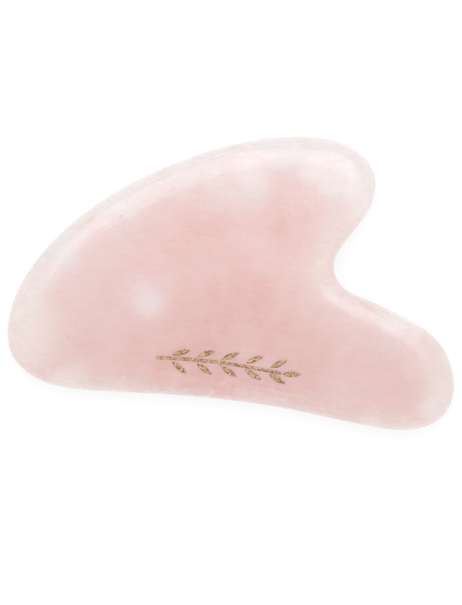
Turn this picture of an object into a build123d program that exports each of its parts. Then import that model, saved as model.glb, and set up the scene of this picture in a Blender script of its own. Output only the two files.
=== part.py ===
from build123d import *
from math import cos, radians, sin
import os

# A gua sha board: one flat piece of rose quartz with a rounded rim all round, a horn and a tail with a
# notch between them, and a gilded sprig of leaves engraved in its upper face.
#
# Frame, in millimetres: the board lies on its plain face. +X runs along its length, towards the horn and
# the tail, +Y runs towards its long curved back, and +Z points out of the engraved face. The origin is in
# the resting face, at the middle of the board's length and width.

os.makedirs("parts", exist_ok=True)

# ---- board ----
THICKNESS = 7.0
RIM_WIDTH = 6.5  # how far the rounded rim reaches in over each face
RIM_BAND = 0.04  # height left upright at the board's widest line, before flattening
LAPPED = 0.02  # stone taken off each face at the end, to make it truly flat

# The outline, clockwise from the middle of the long edge, as one smooth closed curve.
LONG_EDGE = [(18.0, -28.6), (2.0, -27.95), (-14.0, -28.5), (-31.0, -29.7)]
NOSE = [(-40.5, -28.6), (-46.5, -24.0), (-48.0, -17.5)]
BACK = [(-45.0, -6.0), (-34.0, 8.4), (-19.0, 19.5), (-4.0, 26.6)]
HORN = [(10.0, 29.7), (19.5, 28.7), (25.3, 23.8), (25.8, 18.5)]
NOTCH = [(20.8, 8.4), (19.2, 3.0), (21.5, -0.9), (27.0, -3.0), (34.5, -5.5)]
TAIL = [(42.0, -9.0), (47.5, -17.0), (47.0, -24.5), (42.0, -28.7), (34.0, -29.8)]
OUTLINE = LONG_EDGE + NOSE + BACK + HORN + NOTCH + TAIL

# ---- engraved sprig ----
POCKET_DEPTH = 0.4
PAINT_RECESS = 0.12  # how far the paint's top lies below the face
STEM_START = (-15.5, -20.9)
STEM_MIDDLE = (-2.5, -20.2)
STEM_END = (10.5, -20.9)
STEM_WIDTH = 0.7
LEAF_PAIRS = 5
LEAF_LENGTH = 4.0
LEAF_WIDTH = 1.15
LEAF_ANGLE = 27.0  # between a side leaf and the stem
LEAF_GAP = 0.35  # stone left between the stem and each leaf
FIRST_PAIR = 0.12  # places of the first and last pairs, as parts of the stem's length
LAST_PAIR = 0.92


def leaf(base, heading):
    """Sketch of one pointed leaf that grows from base along heading, in degrees."""
    forward = Vector(cos(radians(heading)), sin(radians(heading)))
    half_width = Vector(-forward.Y, forward.X) * (LEAF_WIDTH / 2)
    middle = base + forward * (LEAF_LENGTH / 2)
    tip = base + forward * LEAF_LENGTH
    with BuildSketch() as shape:
        with BuildLine():
            ThreePointArc(base, middle + half_width, tip)
            ThreePointArc(tip, middle - half_width, base)
        make_face()
    return shape.sketch


def stem_curve():
    """The sprig's gently arched centre line."""
    with BuildLine() as line:
        ThreePointArc(STEM_START, STEM_MIDDLE, STEM_END)
    return line.edge()


def stem(line):
    """Sketch of the stem: a slot of constant width with round ends."""
    with BuildSketch() as shape:
        SlotArc(line, STEM_WIDTH)
    return shape.sketch


def sprig():
    """Name and sketch of each engraved shape: the stem, its pairs of side leaves and the leaf at its tip."""
    line = stem_curve()
    shapes = {"gilt_stem": stem(line)}
    clearance = STEM_WIDTH / 2 + LEAF_GAP
    for pair in range(LEAF_PAIRS):
        place = FIRST_PAIR + (LAST_PAIR - FIRST_PAIR) * pair / (LEAF_PAIRS - 1)
        along = line % place
        heading = Vector(1, 0).get_signed_angle(along)
        for side, name in ((1, "upper"), (-1, "lower")):
            base = line @ place + Vector(-along.Y, along.X) * (side * clearance)
            shapes[f"gilt_leaf_{name}_{pair + 1}"] = leaf(base, heading + side * LEAF_ANGLE)
    end_along = line % 1
    shapes["gilt_leaf_tip"] = leaf(line @ 1 + end_along * clearance, Vector(1, 0).get_signed_angle(end_along))
    return shapes


SPRIG = sprig()

# The plate is first made twice as thick as its rim is wide, and rounded to a half circle at its edge.
# Flattened to the board's thickness, the half circle becomes half an ellipse, tangent to both faces. Then
# both faces are lapped.
FLATTENING = (THICKNESS + 2 * LAPPED) / (2 * RIM_WIDTH)

with BuildPart() as quartz_board:
    with BuildSketch(Plane.XY.offset(-LAPPED / FLATTENING)):
        with BuildLine():
            Spline(*OUTLINE, periodic=True)
        make_face()
    extrude(amount=2 * RIM_WIDTH)
    levels = quartz_board.edges().group_by(Axis.Z)
    fillet(levels[0] + levels[-1], radius=RIM_WIDTH - RIM_BAND / 2)
    scale(by=(1, 1, FLATTENING))
    split(bisect_by=Plane.XY, keep=Keep.TOP)
    split(bisect_by=Plane.XY.offset(THICKNESS), keep=Keep.BOTTOM)
    with BuildSketch(Plane.XY.offset(THICKNESS)):
        for shape in SPRIG.values():
            add(shape)
    extrude(amount=-POCKET_DEPTH, mode=Mode.SUBTRACT)

quartz_board.part.label = "quartz_board"
export_step(quartz_board.part, "parts/quartz_board.step")

# Gold paint fills the bottom of each pocket and stops short of the face.
for name, shape in SPRIG.items():
    with BuildPart() as paint:
        with BuildSketch(Plane.XY.offset(THICKNESS - POCKET_DEPTH)):
            add(shape)
        extrude(amount=POCKET_DEPTH - PAINT_RECESS)
    paint.part.label = name
    export_step(paint.part, f"parts/{name}.step")
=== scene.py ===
import math

import bmesh
import bpy
import numpy as np
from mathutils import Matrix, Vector, geometry, noise


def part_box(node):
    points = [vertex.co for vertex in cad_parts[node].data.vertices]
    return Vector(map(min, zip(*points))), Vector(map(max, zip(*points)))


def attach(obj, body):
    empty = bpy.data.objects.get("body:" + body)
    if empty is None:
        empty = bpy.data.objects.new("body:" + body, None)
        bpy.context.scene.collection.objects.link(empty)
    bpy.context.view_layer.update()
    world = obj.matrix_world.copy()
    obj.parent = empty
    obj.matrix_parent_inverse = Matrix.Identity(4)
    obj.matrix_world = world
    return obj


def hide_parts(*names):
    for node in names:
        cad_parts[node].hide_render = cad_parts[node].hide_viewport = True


# A rose quartz gua sha board with a gilded leaf sprig, on a pale table in soft light. Shapes and places
# are in metres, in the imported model's frame: the board lies on z = 0, its engraved face up.

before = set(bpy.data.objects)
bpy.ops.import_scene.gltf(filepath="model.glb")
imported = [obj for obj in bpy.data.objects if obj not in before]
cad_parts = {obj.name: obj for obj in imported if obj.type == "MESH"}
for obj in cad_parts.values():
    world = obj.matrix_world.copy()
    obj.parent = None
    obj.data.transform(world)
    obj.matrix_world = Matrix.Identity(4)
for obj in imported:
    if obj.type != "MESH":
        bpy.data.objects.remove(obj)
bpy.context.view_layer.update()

MM = 0.001
BOARD = "quartz_board"
GILT = sorted(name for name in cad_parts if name.startswith("gilt_"))
BOARD_LOW, BOARD_HIGH = (Vector(corner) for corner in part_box(BOARD))
THICKNESS = BOARD_HIGH.z - BOARD_LOW.z
MID_HEIGHT = (BOARD_HIGH.z + BOARD_LOW.z) / 2

# ---- the board's surface ----
RIM_WIDTH = 6.5 * MM
# Where hand polishing left another rim width: the place on the outline, its reach and the change.
RIM_CHANGES = [
    ((30 * MM, -4.5 * MM), 12 * MM, -1.6 * MM),
    ((-12 * MM, 23 * MM), 22 * MM, 0.8 * MM),
]
RIM_TURN = 60  # degrees of the rim's ellipse that rings follow, each way from the widest line
RIM_STEP = 5  # degrees between rings
ABOVE_BAND = MID_HEIGHT + 0.005 * MM  # faces centred higher are above the rim's upright band
OUTLINE_SPACING = 0.4 * MM
FACE_SPACING = 0.5 * MM
POCKET_CHAMFER = 0.05 * MM
WAVE_HEIGHT = 0.03 * MM
WAVE_LENGTH = 15 * MM
WAVE_SEED = 3.0
WAVE_OFFSET = 1.2  # in wave heights, so that the waves stay below the true plane
RIPPLE_HEIGHT = 0.5  # in wave heights
RIPPLES_PER_WAVE = 2.3
SLOPE_STEP = 0.05 * MM
# Tapers: where each starts, its direction, its length and how much thinner the board is at its end.
TAPERS = [
    ((12 * MM, 12 * MM), (0.6, 0.8), 18 * MM, 0.7 * MM),
    ((30 * MM, -14 * MM), (0.97, 0.24), 18 * MM, 0.7 * MM),
]

# ---- the gilding ----
FACING_UP = 0.9  # the upward part of a top face's normal is more than this
CORNER_TURN = 35  # degrees by which an outline turns at a true corner
REFINE_ROUNDS = 2
PAINT_SPACING = 0.12 * MM
PAINT_EDGE_DROP = 0.05 * MM
PAINT_GRAIN = 0.03 * MM
PAINT_GRAIN_LENGTH = 0.28 * MM

MERGE_DISTANCE = 1e-7


# --------------------------------------------------------------------------------------------------
# Outlines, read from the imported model
# --------------------------------------------------------------------------------------------------


def boundary_loop(node, keep):
    """The closed line round the faces of a CAD node that keep(face) picks, as an (n, 2) array."""
    mesh = bmesh.new()
    mesh.from_mesh(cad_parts[node].data)
    bmesh.ops.remove_doubles(mesh, verts=mesh.verts, dist=MERGE_DISTANCE)
    mesh.normal_update()
    kept = {face for face in mesh.faces if keep(face)}
    links = {}
    for edge in mesh.edges:
        if sum(face in kept for face in edge.link_faces) == 1:
            for one, other in (edge.verts, reversed(edge.verts)):
                links.setdefault(one.index, []).append(other.index)
    start = min(links)
    loop = [start, links[start][0]]
    while loop[-1] != start:
        before, here = loop[-2:]
        loop.append(next(n for n in links[here] if n != before))
    mesh.verts.ensure_lookup_table()
    points = np.array([mesh.verts[i].co[:2] for i in loop[:-1]])
    mesh.free()
    return points if signed_area(points) > 0 else points[::-1]


def signed_area(loop):
    after = np.roll(loop, -1, axis=0)
    return np.sum(loop[:, 0] * after[:, 1] - loop[:, 1] * after[:, 0]) / 2


def smooth_closed_curve(points, spacing):
    """Points about spacing apart on the periodic cubic spline through the given points."""
    after = np.roll(points, -1, axis=0)
    span = np.linalg.norm(after - points, axis=1)[:, None]
    before_span = np.roll(span, 1, axis=0)
    slope = (after - points) / span
    count = len(points)
    rows = np.arange(count)
    system = np.zeros((count, count))
    system[rows, rows] = 2 * (span + before_span)[:, 0]
    system[rows, (rows + 1) % count] = span[:, 0]
    system[rows, (rows - 1) % count] = before_span[:, 0]
    bend = np.linalg.solve(system, 6 * (slope - np.roll(slope, 1, axis=0)))
    bend_after = np.roll(bend, -1, axis=0)
    knots = np.concatenate([[0], np.cumsum(span[:, 0])])
    samples = int(round(knots[-1] / spacing))
    place = np.arange(samples) * knots[-1] / samples
    piece = np.searchsorted(knots, place, side="right") - 1
    s = (place - knots[piece])[:, None]
    h = span[piece]
    start_slope = slope[piece] - h * (2 * bend[piece] + bend_after[piece]) / 6
    third = (bend_after[piece] - bend[piece]) / (6 * h)
    return points[piece] + s * start_slope + s**2 * bend[piece] / 2 + s**3 * third


def inward_normals(loop):
    along = np.roll(loop, -1, axis=0) - np.roll(loop, 1, axis=0)
    along /= np.linalg.norm(along, axis=1)[:, None]
    return np.stack([-along[:, 1], along[:, 0]], axis=1)


def grow(loop, amount):
    """The loop, moved outwards by amount."""
    return loop - inward_normals(loop) * amount


def inside(points, loop):
    """Whether each point lies inside a closed loop."""
    x, y = points[:, 0, None], points[:, 1, None]
    after = np.roll(loop, -1, axis=0)
    crosses = (loop[:, 1] > y) != (after[:, 1] > y)
    rise = np.where(after[:, 1] == loop[:, 1], 1, after[:, 1] - loop[:, 1])
    cross_x = loop[:, 0] + (y - loop[:, 1]) * (after[:, 0] - loop[:, 0]) / rise
    return np.sum(crosses & (x < cross_x), axis=1) % 2 == 1


def nearest_on(points, loop):
    """The nearest place on a closed loop to each point."""
    edge = np.roll(loop, -1, axis=0) - loop
    length_squared = np.sum(edge**2, axis=1)
    nearest = np.empty_like(points)
    for part in np.array_split(np.arange(len(points)), 1 + len(points) // 2000):
        along = np.sum((points[part, None] - loop) * edge, axis=2) / length_squared
        places = loop + np.clip(along, 0, 1)[..., None] * edge
        choice = np.argmin(np.linalg.norm(points[part, None] - places, axis=2), axis=1)
        nearest[part] = places[np.arange(len(part)), choice]
    return nearest


def distance_to(points, loop):
    return np.linalg.norm(points - nearest_on(points, loop), axis=1)


def hexagonal_grid(low, high, spacing):
    points = []
    for k, y in enumerate(np.arange(low[1], high[1], spacing * math.sqrt(3) / 2)):
        shift = spacing / 2 if k % 2 else 0
        points += [(x, y) for x in np.arange(low[0] + shift, high[0], spacing)]
    return np.array(points)


def triangulate(loops, spacing=None):
    """Delaunay triangles over the first loop that keep every loop's edges.

    With a spacing, grid points fill the first loop and leave the others empty. Returns all points,
    with the loops' points first and in order, and the triangles, which face up.
    """
    points = np.concatenate(loops)
    if spacing:
        grid = hexagonal_grid(loops[0].min(axis=0), loops[0].max(axis=0), spacing)
        free = inside(grid, loops[0]) & (distance_to(grid, loops[0]) > spacing / 2)
        for loop in loops[1:]:
            free &= ~inside(grid, loop) & (distance_to(grid, loop) > spacing / 2)
        points = np.concatenate([points, grid[free]])
    edges = []
    first = 0
    for loop in loops:
        edges += [(first + k, first + (k + 1) % len(loop)) for k in range(len(loop))]
        first += len(loop)
    vectors = [Vector(point) for point in points / MM]
    result = geometry.delaunay_2d_cdt(vectors, edges, [], 0, MERGE_DISTANCE, True)
    source = [ids[0] for ids in result[3]]
    triangles = np.array([[source[v] for v in face] for face in result[2]])
    centres = points[triangles].mean(axis=1)
    return points, triangles[inside(centres, loops[0])]


def refine(loop):
    """The loop with points added on its curves. It keeps its true corners."""
    straightest = math.cos(math.radians(CORNER_TURN))
    for _ in range(REFINE_ROUNDS):
        edge = np.roll(loop, -1, axis=0) - loop
        span = np.linalg.norm(edge, axis=1)[:, None]
        along = edge / span
        before_span, before_along = np.roll(span, 1, axis=0), np.roll(along, 1, axis=0)
        tangent = span * before_along + before_span * along
        tangent /= np.linalg.norm(tangent, axis=1)[:, None]
        is_corner = np.sum(before_along * along, axis=1)[:, None] < straightest
        next_tangent, next_is_corner = np.roll(tangent, -1, axis=0), np.roll(is_corner, -1, axis=0)
        leaving = np.where(is_corner, mirrored(next_tangent, along), tangent)
        arriving = np.where(next_is_corner, mirrored(tangent, along), next_tangent)
        middle = loop + edge / 2 + span * (leaving - arriving) / 8
        loop = np.stack([loop, middle], axis=1).reshape(-1, 2)
    return loop


def mirrored(vectors, axes):
    """Vectors mirrored in unit axes."""
    return 2 * np.sum(vectors * axes, axis=1)[:, None] * axes - vectors


OUTLINE = smooth_closed_curve(
    boundary_loop(BOARD, lambda face: face.calc_center_median().z > ABOVE_BAND),
    OUTLINE_SPACING,
)


# --------------------------------------------------------------------------------------------------
# Shapes
# --------------------------------------------------------------------------------------------------


def rim_width(places):
    """The rim's width at places on the outline, as an (n, 1) array."""
    width = np.full((len(places), 1), RIM_WIDTH)
    for centre, reach, change in RIM_CHANGES:
        away = np.linalg.norm(places - centre, axis=1, keepdims=True) / reach
        width += change * np.exp(-away**2)
    return width


def rim_profile(depth, width):
    """Height above the board's middle, and its slope, at a distance in from the outline."""
    reach = np.clip((width - depth) / width, 0, 1)
    level = np.sqrt(1 - reach**2)
    return THICKNESS / 2 * level, THICKNESS / 2 * reach / (width * level)


def worn_away(x, y):
    """How far polishing takes the upper face below a true plane: low waves, and a taper at two tips."""
    at = Vector((x / WAVE_LENGTH, y / WAVE_LENGTH, WAVE_SEED))
    ripples = RIPPLE_HEIGHT * noise.noise(at * RIPPLES_PER_WAVE)
    lost = WAVE_HEIGHT * (WAVE_OFFSET + noise.noise(at) + ripples)
    for start, direction, length, amount in TAPERS:
        run = ((x - start[0]) * direction[0] + (y - start[1]) * direction[1]) / length
        lost += amount * max(0.0, run) ** 2
    return lost


class Surface:
    """A mesh in the making. A face is shaded flat unless each of its points has a normal."""

    def __init__(self):
        self.points = []
        self.normals = []
        self.faces = []

    def add_points(self, flat, height, normals=None):
        """Add points and return their numbers."""
        first = len(self.points)
        heights = np.broadcast_to(height, len(flat))
        self.points += [(p[0], p[1], z) for p, z in zip(flat, heights)]
        self.normals += [None] * len(flat) if normals is None else [Vector(n) for n in normals]
        return list(range(first, len(self.points)))

    def bridge(self, low, high):
        """Quads between two loops of the same length, facing out of a loop that runs anticlockwise."""
        for k in range(len(low)):
            after = (k + 1) % len(low)
            self.faces.append((low[k], low[after], high[after], high[k]))

    def to_piece(self, name, material, replaced):
        mesh = bpy.data.meshes.new(name)
        mesh.from_pydata(self.points, [], self.faces)
        mesh.materials.append(material)
        mesh.polygons.foreach_set("use_smooth", [True] * len(mesh.polygons))
        mesh.update()
        corner_normals = []
        for face in mesh.polygons:
            own = [self.normals[v] for v in face.vertices]
            corner_normals += [face.normal] * len(own) if None in own else own
        mesh.normals_split_custom_set([n.normalized() for n in corner_normals])
        piece = bpy.data.objects.new(name, mesh)
        bpy.context.collection.objects.link(piece)
        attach(piece, "root")
        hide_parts(replaced)
        return piece


def add_rim_ring(surface, turn, across):
    """One line of points round the rim, at an angle up or down its ellipse from the widest line."""
    level, reach = math.sin(math.radians(turn)), math.cos(math.radians(turn))
    width = rim_width(OUTLINE)
    flat = OUTLINE + across * width * (1 - reach)
    sideways = -across * reach / width
    upwards = np.full((len(flat), 1), level / (THICKNESS / 2))
    return surface.add_points(flat, MID_HEIGHT + THICKNESS / 2 * level, np.hstack([sideways, upwards]))


def add_face(surface, ring, pockets, side):
    """Cover one side of the board inside a ring of its rim, leaving out the pockets.

    Returns the numbers of the pockets' points, one list for each, and the triangles left out of each.
    """
    edge = np.array([surface.points[i][:2] for i in ring])
    points, triangles = triangulate([edge] + pockets, FACE_SPACING)
    flat = points[len(ring):]
    nearest = nearest_on(flat, OUTLINE)
    depth = np.linalg.norm(flat - nearest, axis=1)
    height, slope = rim_profile(depth, rim_width(nearest)[:, 0])
    inwards = (flat - nearest) / depth[:, None]
    normals = np.hstack([-inwards * slope[:, None], np.ones((len(flat), 1))]) * (1, 1, side)
    ids = np.array(ring + surface.add_points(flat, MID_HEIGHT + side * height, normals))
    centres = points[triangles].mean(axis=1)
    covered = np.ones(len(triangles), dtype=bool)
    mouths, floors = [], []
    first = len(ring)
    for pocket in pockets:
        held = inside(centres, pocket)
        covered &= ~held
        mouths.append(ids[first:first + len(pocket)].tolist())
        floors.append(triangles[held] - first)
        first += len(pocket)
    turned = triangles[covered] if side > 0 else triangles[covered][:, ::-1]
    surface.faces += [tuple(face) for face in ids[turned].tolist()]
    return mouths, floors


def sink_pocket(surface, mouth, loop, floor_height, floor):
    """Walls with a small chamfer at the face, down to a flat floor. The walls face into the pocket."""
    lip_heights = [surface.points[i][2] - POCKET_CHAMFER for i in mouth]
    lip = surface.add_points(loop, lip_heights)
    base = surface.add_points(loop, floor_height)
    surface.bridge(mouth, lip)
    surface.bridge(lip, base)
    surface.faces += [tuple(base[v] for v in face) for face in floor]


def build_board(material):
    """The stone: rings round its rim, a fine net over both faces, and the sprig's pockets.

    Each point keeps its distance from the outline, which the material reads.
    """
    surface = Surface()
    across = inward_normals(OUTLINE)
    turns = range(-RIM_TURN, RIM_TURN + 1, RIM_STEP)
    rings = [add_rim_ring(surface, turn, across) for turn in turns]
    for low, high in zip(rings, rings[1:]):
        surface.bridge(low, high)
    add_face(surface, rings[0], [], -1)
    pockets = [grow(loop, POCKET_CHAMFER) for loop, _, _ in PAINTED.values()]
    mouths, floors = add_face(surface, rings[-1], pockets, 1)
    wear(surface)
    for mouth, floor, (loop, low, _) in zip(mouths, floors, PAINTED.values()):
        sink_pocket(surface, mouth, loop, low, floor)
    piece = surface.to_piece("polished_stone", material, BOARD)
    flat = np.array([point[:2] for point in surface.points])
    attribute = piece.data.attributes.new("depth_mm", "FLOAT", "POINT")
    attribute.data.foreach_set("value", distance_to(flat, OUTLINE) / MM)


def wear(surface):
    """Lower the upper face and rim by what polishing took away, and tip the normals to match."""
    for k, (x, y, z) in enumerate(surface.points):
        share = (z - BOARD_LOW.z) / THICKNESS
        here = worn_away(x, y)
        slope_x = (worn_away(x + SLOPE_STEP, y) - here) / SLOPE_STEP
        slope_y = (worn_away(x, y + SLOPE_STEP) - here) / SLOPE_STEP
        normal = surface.normals[k].normalized()
        surface.points[k] = (x, y, z - share * here)
        surface.normals[k] = normal + Vector((slope_x, slope_y, 0)) * (share * max(0.0, normal.z))


def paint_outline(node):
    """Outline of one painted shape, and the heights of its underside and its top."""
    low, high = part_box(node)
    loop = boundary_loop(node, lambda face: face.normal.z > FACING_UP)
    return refine(loop), low[2], high[2]


PAINTED = {name: paint_outline(name) for name in GILT}


def build_paint(node, material):
    """One painted shape: a grainy skin of glitter paint that sinks a little towards its edge."""
    loop, low, high = PAINTED[node]
    points, triangles = triangulate([loop], PAINT_SPACING)
    depth = distance_to(points, loop)
    drop = PAINT_EDGE_DROP * np.exp(-depth / PAINT_EDGE_DROP)
    grain = [noise.noise(Vector((x, y, 1.0)) / PAINT_GRAIN_LENGTH) for x, y in points]
    surface = Surface()
    surface.add_points(points, high - PAINT_GRAIN - drop + PAINT_GRAIN * np.array(grain))
    surface.faces = [tuple(face) for face in triangles.tolist()]
    base = surface.add_points(loop, low)
    surface.bridge(base, list(range(len(loop))))
    surface.faces += [tuple(base[v] for v in face[::-1]) for face in triangulate([loop])[1]]
    surface.to_piece(node + "_paint", material, node)


# --------------------------------------------------------------------------------------------------
# Materials
# --------------------------------------------------------------------------------------------------


def linear(red, green, blue):
    """Scene colour of an sRGB colour with channels from 0 to 255."""
    channels = []
    for value in (red, green, blue):
        v = value / 255
        channels.append(v / 12.92 if v <= 0.04045 else ((v + 0.055) / 1.055) ** 2.4)
    return (*channels, 1.0)


class Nodes:
    """A material's node tree, with short calls that add nodes and return the last one's output."""

    def __init__(self, name):
        self.material = bpy.data.materials.new(name)
        self.material.use_nodes = True
        self.tree = self.material.node_tree
        self.tree.nodes.clear()
        output = self.tree.nodes.new("ShaderNodeOutputMaterial")
        self.shader = self.tree.nodes.new("ShaderNodeBsdfPrincipled")
        self.tree.links.new(self.shader.outputs[0], output.inputs["Surface"])

    def connect(self, value, socket):
        if isinstance(value, bpy.types.NodeSocket):
            self.tree.links.new(value, socket)
        else:
            socket.default_value = value

    def add(self, kind, inputs, **settings):
        node = self.tree.nodes.new(kind)
        for name, value in settings.items():
            setattr(node, name, value)
        for name, value in inputs.items():
            self.connect(value, node.inputs[name])
        return node

    def set(self, **inputs):
        for name, value in inputs.items():
            self.connect(value, self.shader.inputs[name.replace("_", " ")])

    def math(self, operation, *values):
        return self.add("ShaderNodeMath", dict(enumerate(values)), operation=operation).outputs[0]

    def plus(self, one, other):
        return self.math("ADD", one, other)

    def minus(self, one, other):
        return self.math("SUBTRACT", one, other)

    def times(self, one, other):
        return self.math("MULTIPLY", one, other)

    def over(self, one, other):
        return self.math("DIVIDE", one, other)

    def larger(self, one, other):
        return self.math("MAXIMUM", one, other)

    def bell(self, value):
        """1 where the value is 0, a half where it is 1, and towards 0 beyond."""
        return self.over(1.0, self.plus(1.0, self.times(value, value)))

    def ramp(self, value, low, high, to_low=0.0, to_high=1.0):
        """The value, smoothly remapped from low..high to to_low..to_high, and clamped."""
        names = ("Value", "From Min", "From Max", "To Min", "To Max")
        inputs = dict(zip(names, (value, low, high, to_low, to_high)))
        node = self.add("ShaderNodeMapRange", inputs, interpolation_type="SMOOTHSTEP")
        return node.outputs["Result"]

    def scaled(self, vector, factor):
        inputs = {0: vector, "Scale": factor}
        return self.add("ShaderNodeVectorMath", inputs, operation="SCALE").outputs[0]

    def vector_sum(self, one, other):
        return self.add("ShaderNodeVectorMath", {0: one, 1: other}, operation="ADD").outputs[0]

    def millimetres(self):
        place = self.tree.nodes.new("ShaderNodeTexCoord").outputs["Object"]
        return self.scaled(place, 1 / MM)

    def shifted(self, vector, offset=(0, 0, 0), stretch=(1, 1, 1), turn=0.0):
        inputs = {"Vector": vector, "Location": offset, "Scale": stretch}
        inputs["Rotation"] = (0, 0, math.radians(turn))
        return self.add("ShaderNodeMapping", inputs).outputs[0]

    def warped(self, vector, size, amount, seed):
        """The vector, pushed about by soft noise."""
        where = self.shifted(vector, offset=(seed, seed * 0.7, 0))
        inputs = {"Vector": where, "Scale": 1 / size, "Detail": 3.0}
        colour = self.add("ShaderNodeTexNoise", inputs).outputs["Color"]
        centred = self.vector_sum(colour, (-0.5, -0.5, -0.5))
        return self.vector_sum(vector, self.scaled(centred, amount))

    def noise(self, vector, size, detail=3.0, roughness=0.5, seed=0.0):
        where = self.shifted(vector, offset=(seed, -seed, seed * 0.3))
        inputs = {"Vector": where, "Scale": 1 / size, "Detail": detail, "Roughness": roughness}
        return self.add("ShaderNodeTexNoise", inputs).outputs["Fac"]

    def cells(self, vector, size):
        """A random colour in each cell of the given size."""
        inputs = {"Vector": vector, "Scale": 1 / size}
        return self.add("ShaderNodeTexVoronoi", inputs).outputs["Color"]

    def mix(self, amount, one, other):
        node = self.tree.nodes.new("ShaderNodeMix")
        node.data_type = "RGBA"
        self.connect(amount, node.inputs["Factor"])
        self.connect(one, node.inputs[6])
        self.connect(other, node.inputs[7])
        return node.outputs[2]

    def spot(self, vector, centre, radius, core=0.0):
        """1 within core of a place on the board and falling softly to 0 at radius, in millimetres."""
        flat = self.shifted(vector, offset=(-centre[0], -centre[1], 0), stretch=(1, 1, 0))
        length = self.add("ShaderNodeVectorMath", {0: flat}, operation="LENGTH").outputs["Value"]
        return self.ramp(length, core, radius, 1.0, 0.0)

    def line(self, vector, start, end, width):
        """1 on the straight line between two places, falling softly to 0 at width, in millimetres."""
        middle = (Vector(start) + Vector(end)) / 2
        run = Vector(end) - Vector(start)
        away = self.shifted(vector, offset=(-middle.x, -middle.y, 0), stretch=(1, 1, 0))
        turned = self.shifted(away, turn=-math.degrees(math.atan2(run.y, run.x)))
        parts = self.add("ShaderNodeSeparateXYZ", {"Vector": turned}).outputs
        from_middle = self.math("ABSOLUTE", parts["X"])
        beyond = self.larger(self.minus(from_middle, run.length / 2), 0.0)
        beside = self.math("ABSOLUTE", parts["Y"])
        return self.ramp(self.plus(beyond, beside), 0.0, width, 1.0, 0.0)


# Lengths here are in millimetres, except those given as a number times MM.

ROSE = linear(212, 182, 179)
BLUSH = linear(209, 168, 164)
FROST = linear(214, 200, 197)
SNOW = linear(213, 206, 206)
PEARL = linear(218, 209, 208)
BEIGE = linear(220, 210, 206)
SAND = linear(218, 201, 195)
GLOW = linear(234, 225, 223)
MILK_AND_HIGHLIGHT = linear(217, 207, 209)
SPECK = linear(176, 140, 124)
GILT_DARK = linear(104, 66, 46)
GILT_LIGHT = linear(220, 171, 138)
TABLE_DARK = linear(124, 124, 125)
TABLE_LIGHT = linear(126, 126, 127)

NOISE_BAND = (0.3, 0.7)  # soft noise seldom leaves this band
FINE_NOISE_BAND = (0.25, 0.75)
CLOUD_SIZE = 14
CLOUD_STRENGTH = 0.3
VEIL_SIZE = 5
VEIL_STRENGTH = 0.12
STREAK_SIZE = 0.9
STREAK_STRETCH = 0.25
STREAK_TURN = 4
GRAIN_SIZE = 0.6
GRAIN_STRENGTH = 0.02
POLISH_SIZE = 6
STONE_ROUGHNESS = (0.1, 0.17)
QUARTZ_IOR = 1.54
SCATTER_RADIUS = (1.0, 0.8, 0.75)
SCATTER_SCALE = 2.2 * MM
FLAKE_SIZE = 0.22
TABLE_GRAIN = 40
TABLE_GLOW = 0.74

# How the stone pales towards its outline: half pale at this depth, but closer in clouds.
HALF_PALE = 7.0
CLOUD_NARROWING = (1.3, 0.75)
# The long edge lies at the lowest y. Towards it, the pale rim is narrower and rosier, and painted shade
# darkens the stone.
NARROWER_HEIGHTS = (-27, -14)
LONG_EDGE_NARROWING = 3.0
ROSIER_HEIGHTS = (-29, -20)
LONG_EDGE_PALENESS = 0.7
# Painted shade: the stone darkens between these heights, down to this share at the long edge.
PAINTED_SHADE_HEIGHTS = (-28, 12)
LONG_EDGE_PAINTED_SHADE = 0.94
# Light that passes through the thin edge brightens it: most at the outline, half at this depth.
GLOW_DEPTH = 0.6
GLOW_STRENGTH = 0.16
CRYSTAL_SIZE = 2.2
CRYSTAL_BAND = (0.5, 0.66)
CRYSTAL_DEPTHS = (1.5, 6.0)
CRYSTAL_STRENGTH = 0.42
# Grinding lines run along the rim, between these depths, round one deeper groove.
GRINDING_DEPTH = 0.12 * MM
GRINDING_STARTS = (0.4, 1.4)
GRINDING_ENDS = (4, 8)
GRINDING_DENSITY = 0.7
GRINDING_STRETCH = 0.03
GROOVE_DEPTH_IN = 1.75
GROOVE_HALF_WIDTH = 0.4
GROOVE_STRENGTH = 0.3

# Places on the face, and how far each reaches. A zone is even over its core, a share of its reach.
ZONE_CORE = 0.3
SNOWY_CORE = 0.42
COOL_ZONES = [((-42, 2), 12), ((-29, 15), 13), ((-13, 24), 13), ((3, 29), 13), ((19, 27), 14)]
SNOWY_ZONES = [((23, 25), 14), ((14, 30), 13), ((5, 30), 12.5)]
FAINT_SNOWY_ZONES = [((-4, 19), 12), ((-3, 23), 9), ((12, 24), 6.5), ((16.5, 20.5), 6)]
FAINT_SNOWY_STRENGTH = 0.88
# The pearly zone at (36, -6) paints part of the highlight on the tail's flank.
PEARLY_AND_HIGHLIGHT_ZONES = [((24, 21), 12), ((14, 21), 8), ((36, -6), 7), ((0.5, 21), 6)]
BEIGE_ZONES = [
    ((-51, -18), 21),
    ((51, -18), 17),
    ((46, -25), 9),
    ((-34, -32), 11),
    ((-24, -32), 8),
    ((31, -32), 8),
    ((40, -32), 8),
]
BEIGE_STRENGTH = 0.85
SANDY_ZONES = [((22, 2), 9)]
ROSY_ZONES = [((22, -8), 8), ((19, 1), 5), ((-3, -28), 11), ((31, -14), 9), ((41, -14), 6)]
ROSY_STRENGTH = 0.18
DULL_ZONES = [((12, 23), 14), ((41, -11), 11), ((-38, -8), 12)]
DULL_STRENGTH = 0.09
BLUSH_ZONES = [((0, -20), 29)]
FAINT_BLUSH_ZONES = [((-10, 4), 11), ((10, 8), 8), ((2, -6), 11), ((-17, -19), 13)]
FAINT_BLUSH_STRENGTH = 0.6
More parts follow.
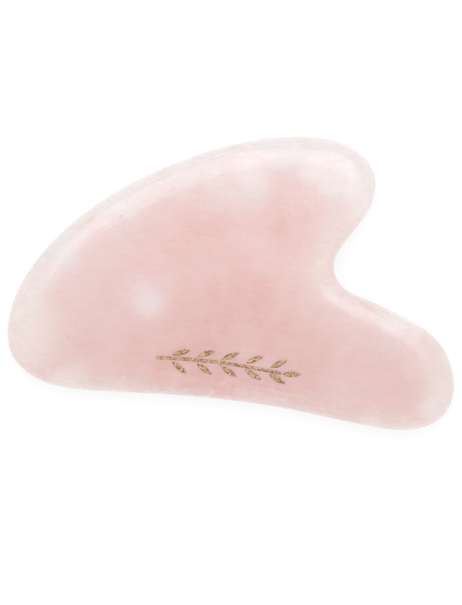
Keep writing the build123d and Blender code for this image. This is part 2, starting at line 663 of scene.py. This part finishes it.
# Marks: milky spots, then painted highlights on the nose and at the notch. The last number of each is
# its strength.
MILKY_SPOTS_AND_PAINTED_HIGHLIGHTS = [
    ((-18.9, -9.6), 5.0, 0.6),
    ((-19.8, -7.6), 7.4, 0.42),
    ((-7.5, -1.5), 5.5, 0.1),
    ((1.0, 4.0), 6.0, 0.1),
    # Painted highlights: the key light's reflection broken into patches on the nose, and where the
    # flank's highlight starts at the notch.
    ((-39.7, -0.7), 4.0, 0.6),
    ((-41.0, -7.0), 5.0, 0.4),
    ((-44.2, -12.2), 3.5, 0.6),
    ((19.4, -2.4), 3.4, 0.7),
]
SPECKS = [((-26.9, 7.9), 0.45), ((8.3, 12.9), 0.4), ((-34.6, -19.0), 0.35), ((-33.5, -19.4), 0.3)]
SPECK_STRENGTH = 0.5
HAIRLINES = [((2.5, -23.5), (13.4, -24.5)), ((-9.2, 18.0), (-5.6, 20.1)), ((24.2, -2.9), (33.0, -7.4))]
HAIRLINE_WIDTH = 0.25
HAIRLINE_STRENGTH = 0.18


def zones(nodes, place, places, core=ZONE_CORE):
    """1 round the given places, falling softly to 0 at their reach."""
    share = 0.0
    for centre, radius in places:
        share = nodes.larger(share, nodes.spot(place, centre, radius, radius * core))
    return share


def edge_paleness(nodes, height, depth, clouds, veils):
    """1 where the stone is frosty, at its outline, and 0 where it is rosy, in its middle."""
    narrowing = nodes.ramp(height, *NARROWER_HEIGHTS, LONG_EDGE_NARROWING, 1.0)
    uneven = nodes.ramp(clouds, *NOISE_BAND, *CLOUD_NARROWING)
    scaled_depth = nodes.times(nodes.times(depth, narrowing), uneven)
    pale = nodes.bell(nodes.over(scaled_depth, HALF_PALE))
    pale = nodes.times(pale, nodes.ramp(height, *ROSIER_HEIGHTS, LONG_EDGE_PALENESS, 1.0))
    return nodes.plus(pale, nodes.ramp(veils, *NOISE_BAND, -VEIL_STRENGTH, VEIL_STRENGTH))


def zoned_paleness(nodes, loose, pale, beige):
    """The paleness, less in the rosy zones and more in the snowy and beige ones."""
    pale = nodes.minus(pale, nodes.times(zones(nodes, loose, ROSY_ZONES), ROSY_STRENGTH))
    pale = nodes.larger(pale, zones(nodes, loose, SNOWY_ZONES, SNOWY_CORE))
    pale = nodes.larger(pale, nodes.times(beige, BEIGE_STRENGTH))
    faint = nodes.times(zones(nodes, loose, FAINT_SNOWY_ZONES), FAINT_SNOWY_STRENGTH)
    return nodes.larger(pale, faint)


def rosy_colour(nodes, loose, clouds):
    """The colour of the stone's middle."""
    faint = nodes.times(zones(nodes, loose, FAINT_BLUSH_ZONES), FAINT_BLUSH_STRENGTH)
    blush = nodes.larger(zones(nodes, loose, BLUSH_ZONES), faint)
    blush = nodes.plus(blush, nodes.ramp(clouds, *NOISE_BAND, -CLOUD_STRENGTH, CLOUD_STRENGTH))
    return nodes.mix(nodes.ramp(blush, 0.0, 1.0), ROSE, BLUSH)


def frosty_colour(nodes, loose, beige):
    """The colour that the stone pales to, with part of the tail flank's highlight painted in."""
    colour = nodes.mix(beige, FROST, BEIGE)
    for places, tint in ((COOL_ZONES, SNOW), (PEARLY_AND_HIGHLIGHT_ZONES, PEARL), (SANDY_ZONES, SAND)):
        colour = nodes.mix(zones(nodes, loose, places), colour, tint)
    return colour


def crystals(nodes, place, depth):
    """Whitish grains that show near the outline."""
    where = nodes.warped(place, size=2.0, amount=1.6, seed=4.0)
    grains = nodes.noise(where, CRYSTAL_SIZE, detail=5.0, roughness=0.65, seed=2.0)
    reach = nodes.ramp(depth, *CRYSTAL_DEPTHS, CRYSTAL_STRENGTH, 0.0)
    return nodes.times(nodes.ramp(grains, *CRYSTAL_BAND), reach)


def edge_glow(nodes, depth):
    return nodes.times(GLOW_STRENGTH, nodes.bell(nodes.over(depth, GLOW_DEPTH)))


def marked(nodes, place, colour):
    """The colour with milky spots, painted highlights, dark specks and healed cracks."""
    for centre, radius, strength in MILKY_SPOTS_AND_PAINTED_HIGHLIGHTS:
        haze_and_highlight = nodes.spot(nodes.warped(place, size=3.0, amount=3.2, seed=centre[0]), centre, radius)
        colour = nodes.mix(nodes.times(haze_and_highlight, strength), colour, MILK_AND_HIGHLIGHT)
    ragged = nodes.warped(place, size=0.5, amount=0.3, seed=8.0)
    for centre, radius in SPECKS:
        speck = nodes.spot(ragged, centre, radius)
        colour = nodes.mix(nodes.times(speck, SPECK_STRENGTH), colour, SPECK)
    wavy = nodes.warped(place, size=3.0, amount=0.8, seed=8.0)
    for start, end in HAIRLINES:
        hairline = nodes.line(wavy, start, end, HAIRLINE_WIDTH)
        colour = nodes.mix(nodes.times(hairline, HAIRLINE_STRENGTH), colour, SPECK)
    return colour


def grain_and_painted_shade(nodes, place, height):
    """Faint streaks and grain, and painted shade that darkens the stone towards the long edge."""
    along = nodes.shifted(place, stretch=(STREAK_STRETCH, 1, 1), turn=STREAK_TURN)
    streaks = nodes.noise(along, STREAK_SIZE)
    grain = nodes.noise(place, GRAIN_SIZE, seed=9.0)
    # Painted shade: darker towards the long edge, which faces away from the key light.
    shade = nodes.ramp(height, *PAINTED_SHADE_HEIGHTS, LONG_EDGE_PAINTED_SHADE, 1.0)
    for texture in (streaks, grain):
        uneven = nodes.ramp(texture, *FINE_NOISE_BAND, 1 - GRAIN_STRENGTH, 1 + GRAIN_STRENGTH)
        shade = nodes.times(shade, uneven)
    return shade


def stone_colour(nodes, place, depth):
    billowed = nodes.warped(place, size=9, amount=5, seed=11.0)
    clouds = nodes.noise(billowed, CLOUD_SIZE, detail=4.0)
    rippled = nodes.warped(place, size=4, amount=3, seed=5.0)
    veils = nodes.noise(rippled, VEIL_SIZE, detail=5.0, roughness=0.6)
    loose = nodes.warped(place, size=14, amount=6, seed=21.0)
    height = nodes.add("ShaderNodeSeparateXYZ", {"Vector": place}).outputs["Y"]
    beige = zones(nodes, loose, BEIGE_ZONES)
    pale = edge_paleness(nodes, height, depth, clouds, veils)
    pale = zoned_paleness(nodes, loose, pale, beige)
    rosy, frosty = rosy_colour(nodes, loose, clouds), frosty_colour(nodes, loose, beige)
    colour = nodes.mix(pale, rosy, frosty)
    colour = nodes.mix(crystals(nodes, place, depth), colour, PEARL)
    colour = nodes.mix(edge_glow(nodes, depth), colour, GLOW)
    return nodes.scaled(marked(nodes, place, colour), grain_and_painted_shade(nodes, place, height))


def grinding_lines(nodes, place, depth):
    """Height of the faint lines that grinding leaves along the rim."""
    along = nodes.shifted(place, stretch=(GRINDING_STRETCH, GRINDING_STRETCH, 0))
    inwards = nodes.times(depth, GRINDING_DENSITY)
    across = nodes.add("ShaderNodeCombineXYZ", {"Z": inwards}).outputs[0]
    lines = nodes.noise(nodes.vector_sum(along, across), 1.0, roughness=0.55)
    from_groove = nodes.math("ABSOLUTE", nodes.minus(depth, GROOVE_DEPTH_IN))
    groove = nodes.ramp(from_groove, 0.0, GROOVE_HALF_WIDTH, -GROOVE_STRENGTH, 0.0)
    starts = nodes.ramp(depth, *GRINDING_STARTS)
    ends = nodes.ramp(depth, *GRINDING_ENDS, 1.0, 0.0)
    return nodes.times(nodes.plus(lines, groove), nodes.times(starts, ends))


def rose_quartz():
    nodes = Nodes("rose_quartz")
    place = nodes.millimetres()
    depth = nodes.add("ShaderNodeAttribute", {}, attribute_name="depth_mm").outputs["Fac"]
    polish = nodes.noise(place, POLISH_SIZE, detail=5.0, seed=5.0)
    dull = nodes.times(zones(nodes, place, DULL_ZONES), DULL_STRENGTH)
    relief = {"Height": grinding_lines(nodes, place, depth), "Distance": GRINDING_DEPTH}
    nodes.set(
        Base_Color=stone_colour(nodes, place, depth),
        Roughness=nodes.plus(nodes.ramp(polish, *NOISE_BAND, *STONE_ROUGHNESS), dull),
        Normal=nodes.add("ShaderNodeBump", relief).outputs[0],
        IOR=QUARTZ_IOR,
        Subsurface_Weight=1.0,
        Subsurface_Radius=SCATTER_RADIUS,
        Subsurface_Scale=SCATTER_SCALE,
    )
    return nodes.material


def gilt_paint():
    """Metallic glitter: each flake has its own shade of gold."""
    nodes = Nodes("gilt_paint")
    flakes = nodes.cells(nodes.millimetres(), FLAKE_SIZE)
    shade = nodes.add("ShaderNodeSeparateColor", {"Color": flakes}).outputs[0]
    nodes.set(Base_Color=nodes.mix(shade, GILT_DARK, GILT_LIGHT), Metallic=0.5, Roughness=0.4)
    return nodes.material


def table_surface():
    """A light table's white sheet: mostly its own glow, so that shadows on it are faint."""
    nodes = Nodes("pale_table")
    grain = nodes.noise(nodes.millimetres(), TABLE_GRAIN, detail=2.0)
    nodes.set(
        Base_Color=nodes.mix(grain, TABLE_DARK, TABLE_LIGHT),
        Roughness=0.7,
        Emission_Color=(1, 1, 1, 1),
        Emission_Strength=TABLE_GLOW,
    )
    return nodes.material


# --------------------------------------------------------------------------------------------------
# Studio
# --------------------------------------------------------------------------------------------------

CENTRE = (BOARD_LOW + BOARD_HIGH) / 2
CAMERA_ROLL = 7.25  # the board's length runs this many degrees down to the right
CAMERA_HEIGHT = 0.6
VIEW_WIDTH = 98.4 * MM
VIEW_OFFSET = (-1.5 * MM, -7.3 * MM)  # from the board's centre to the middle of the view
SENSOR = 36
TABLE_HALF = 1.5
TABLE_CELLS = 8
ROOM_LIGHT = 0.94


def aim(thing, target):
    direction = Vector(target) - thing.location
    thing.rotation_euler = direction.to_track_quat("-Z", "Y").to_euler()


def place_camera():
    data = bpy.data.cameras.new("camera")
    data.sensor_fit = "HORIZONTAL"
    data.sensor_width = SENSOR
    data.lens = SENSOR * CAMERA_HEIGHT / VIEW_WIDTH
    camera = bpy.data.objects.new("camera", data)
    camera.location = (CENTRE.x + VIEW_OFFSET[0], CENTRE.y + VIEW_OFFSET[1], CENTRE.z + CAMERA_HEIGHT)
    camera.rotation_euler = (0, 0, math.radians(CAMERA_ROLL))
    bpy.context.collection.objects.link(camera)
    bpy.context.scene.camera = camera


def softbox(name, tilt, bearing, distance, size, radiance, mirrored_in_stone=True):
    """A rectangular light that faces the board.

    Its tilt is from straight overhead, and its bearing clockwise from +Y, both in degrees.
    """
    data = bpy.data.lights.new(name, "AREA")
    data.shape = "RECTANGLE"
    data.size, data.size_y = size
    data.energy = radiance * math.pi * size[0] * size[1]
    light = bpy.data.objects.new(name, data)
    flat = math.sin(math.radians(tilt)) * distance
    light.location = (
        CENTRE.x + flat * math.sin(math.radians(bearing)),
        CENTRE.y + flat * math.cos(math.radians(bearing)),
        CENTRE.z + math.cos(math.radians(tilt)) * distance,
    )
    aim(light, CENTRE)
    light.visible_glossy = mirrored_in_stone
    bpy.context.collection.objects.link(light)


def light_room():
    world = bpy.data.worlds.new("room")
    world.use_nodes = True
    background = world.node_tree.nodes["Background"].inputs
    background["Color"].default_value = (1, 1, 1, 1)
    background["Strength"].default_value = ROOM_LIGHT
    bpy.context.scene.world = world
    behind, before = -CAMERA_ROLL, 180 - CAMERA_ROLL
    softbox("key_softbox", tilt=39, bearing=behind, distance=0.9, size=(1.1, 0.6), radiance=1.6)
    softbox("soft_edge", tilt=15, bearing=behind, distance=0.95, size=(1.1, 0.2), radiance=1.4)
    softbox(
        "low_fill",
        tilt=60,
        bearing=before,
        distance=1.0,
        size=(1.2, 0.5),
        radiance=1.6,
        mirrored_in_stone=False,
    )
    bpy.context.scene.view_settings.view_transform = "Standard"


def lay_table():
    row = TABLE_CELLS + 1
    steps = np.linspace(-TABLE_HALF, TABLE_HALF, row)
    points = [(CENTRE.x + x, CENTRE.y + y, BOARD_LOW.z) for y in steps for x in steps]
    firsts = [j * row + i for j in range(TABLE_CELLS) for i in range(TABLE_CELLS)]
    faces = [(first, first + 1, first + row + 1, first + row) for first in firsts]
    mesh = bpy.data.meshes.new("table")
    mesh.from_pydata(points, [], faces)
    mesh.materials.append(table_surface())
    table = bpy.data.objects.new("table", mesh)
    bpy.context.collection.objects.link(table)


place_camera()
light_room()
lay_table()
build_board(rose_quartz())
gilding = gilt_paint()
for name in GILT:
    build_paint(name, gilding)
